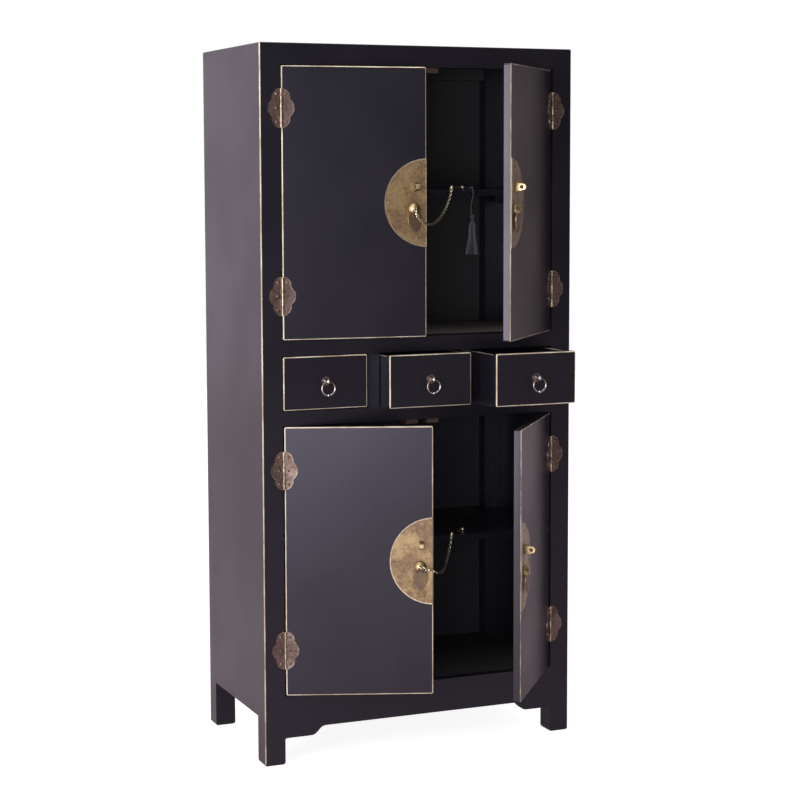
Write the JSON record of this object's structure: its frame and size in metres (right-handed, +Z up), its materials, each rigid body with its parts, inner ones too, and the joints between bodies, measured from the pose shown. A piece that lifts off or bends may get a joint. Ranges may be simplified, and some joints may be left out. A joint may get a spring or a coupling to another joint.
{
  "type": "side cabinet",
  "caption": "Tall narrow lacquered side cabinet: paired hinged doors above and below a row of drawers, with shelves inside, brass half-moon plates and lock pins on chains.",
  "frame": {"origin": "on the floor, under the middle of the carcass's footprint", "axes": "+Z up; -Y towards the front with the doors; +X to the right of someone facing the front"},
  "size_m": [0.62, 0.5493, 1.31],
  "materials": {
    "black_lacquer": "satin black lacquer, edges rubbed to pale gold",
    "inner_lacquer": "plain black lacquer",
    "aged_brass": "aged, mottled",
    "bright_brass": "rubbed",
    "dark_brass": "antiqued",
    "catch_plastic": "moulded brown",
    "tassel_yarn": "silky dark grey yarn"
  },
  "bodies": {
    "carcass": {"front_posts": "black_lacquer", "rear_posts": "black_lacquer", "side_panels": "black_lacquer", "back_panel": "inner_lacquer", "rear_rails": "inner_lacquer", "top_panel": "black_lacquer", "top_rail": "black_lacquer", "upper_mid_rail": "black_lacquer", "lower_mid_rail": "black_lacquer", "bottom_rail": "black_lacquer", "front_apron": "black_lacquer", "drawer_dividers": "black_lacquer", "bottom_board": "inner_lacquer", "drawer_deck": "inner_lacquer", "upper_floor": "inner_lacquer", "upper_shelf": "inner_lacquer", "lower_shelf": "inner_lacquer", "shelf_cleats": "inner_lacquer", "drawer_guides": "inner_lacquer", "magnet_catches": "catch_plastic", "frame_hinge_leaves": "aged_brass", "hinge_pins": "bright_brass"},
    "upper_left_door": {"upper_left_door": "black_lacquer", "upper_left_door_hinge_leaves": "aged_brass", "upper_left_door_lock_plate": "aged_brass", "upper_left_door_lock_fittings": "bright_brass", "upper_chain": "bright_brass", "upper_lock_pin": "bright_brass", "tassel_cord": "tassel_yarn", "tassel": "tassel_yarn"},
    "upper_left_door_pull": {"upper_left_door_drop_pull": "aged_brass"},
    "upper_right_door": {"upper_right_door": "black_lacquer", "upper_right_door_hinge_leaves": "aged_brass", "upper_right_door_lock_plate": "aged_brass", "upper_right_door_lock_fittings": "bright_brass"},
    "upper_right_door_pull": {"upper_right_door_drop_pull": "aged_brass"},
    "lower_left_door": {"lower_left_door": "black_lacquer", "lower_left_door_hinge_leaves": "aged_brass", "lower_left_door_lock_plate": "aged_brass", "lower_left_door_lock_fittings": "bright_brass", "lower_chain": "bright_brass", "lower_lock_pin": "bright_brass"},
    "lower_left_door_pull": {"lower_left_door_drop_pull": "aged_brass"},
    "lower_right_door": {"lower_right_door": "black_lacquer", "lower_right_door_hinge_leaves": "aged_brass", "lower_right_door_lock_plate": "aged_brass", "lower_right_door_lock_fittings": "bright_brass"},
    "lower_right_door_pull": {"lower_right_door_drop_pull": "aged_brass"},
    "left_drawer": {"left_drawer_front": "black_lacquer", "left_drawer_box": "inner_lacquer", "left_drawer_knob": "dark_brass"},
    "left_drawer_ring_body": {"left_drawer_ring": "dark_brass"},
    "middle_drawer": {"middle_drawer_front": "black_lacquer", "middle_drawer_box": "inner_lacquer", "middle_drawer_knob": "dark_brass"},
    "middle_drawer_ring_body": {"middle_drawer_ring": "dark_brass"},
    "right_drawer": {"right_drawer_front": "black_lacquer", "right_drawer_box": "inner_lacquer", "right_drawer_knob": "dark_brass"},
    "right_drawer_ring_body": {"right_drawer_ring": "dark_brass"}
  },
  "joints": [
    {"name": "upper_left_door_hinge", "type": "hinge", "parent": "carcass", "child": "upper_left_door", "pos_m": [-0.27025, -0.1699, 1.02525], "axis": [0, 0, -1], "range_deg": [-7, 158], "deforming": ["upper_chain", "upper_lock_pin", "tassel_cord", "tassel"]},
    {"name": "upper_left_door_pull_swing", "type": "hinge", "parent": "upper_left_door", "child": "upper_left_door_pull", "pos_m": [-0.02678, -0.20352, 1.01125], "axis": [-0.9925, 0.1219, 0], "range_deg": [0, 80]},
    {"name": "upper_right_door_hinge", "type": "hinge", "parent": "carcass", "child": "upper_right_door", "pos_m": [0.27025, -0.1699, 1.02525], "axis": [0, 0, 1], "range_deg": [-47.6, 117.4]},
    {"name": "upper_right_door_pull_swing", "type": "hinge", "parent": "upper_right_door", "child": "upper_right_door_pull", "pos_m": [0.10727, -0.35387, 1.01125], "axis": [-0.6743, -0.7385, 0], "range_deg": [0, 80]},
    {"name": "lower_left_door_hinge", "type": "hinge", "parent": "carcass", "child": "lower_left_door", "pos_m": [-0.27025, -0.1699, 0.3765], "axis": [0, 0, -1], "range_deg": [-20.5, 144.5], "deforming": ["lower_chain", "lower_lock_pin"]},
    {"name": "lower_left_door_pull_swing", "type": "hinge", "parent": "lower_left_door", "child": "lower_left_door_pull", "pos_m": [-0.04136, -0.25943, 0.3625], "axis": [-0.9367, 0.3502, 0], "range_deg": [0, 80]},
    {"name": "lower_right_door_hinge", "type": "hinge", "parent": "carcass", "child": "lower_right_door", "pos_m": [0.27025, -0.1699, 0.3765], "axis": [0, 0, 1], "range_deg": [-52, 113]},
    {"name": "lower_right_door_pull_swing", "type": "hinge", "parent": "lower_right_door", "child": "lower_right_door_pull", "pos_m": [0.12187, -0.36583, 0.3625], "axis": [-0.6157, -0.788, 0], "range_deg": [0, 80]},
    {"name": "left_drawer_slide", "type": "slide", "parent": "carcass", "child": "left_drawer", "axis": [0, -1, 0], "range_m": [0, 0.2]},
    {"name": "left_drawer_ring_swing", "type": "hinge", "parent": "left_drawer", "child": "left_drawer_ring_body", "pos_m": [-0.188, -0.182, 0.704], "axis": [-1, 0, 0], "range_deg": [-25, 85]},
    {"name": "middle_drawer_slide", "type": "slide", "parent": "carcass", "child": "middle_drawer", "axis": [0, -1, 0], "range_m": [-0.046, 0.154]},
    {"name": "middle_drawer_ring_swing", "type": "hinge", "parent": "middle_drawer", "child": "middle_drawer_ring_body", "pos_m": [0, -0.228, 0.704], "axis": [-1, 0, 0], "range_deg": [-25, 85]},
    {"name": "right_drawer_slide", "type": "slide", "parent": "carcass", "child": "right_drawer", "axis": [0, -1, 0], "range_m": [-0.101, 0.099]},
    {"name": "right_drawer_ring_swing", "type": "hinge", "parent": "right_drawer", "child": "right_drawer_ring_body", "pos_m": [0.188, -0.283, 0.704], "axis": [-1, 0, 0], "range_deg": [-25, 85]}
  ]
}
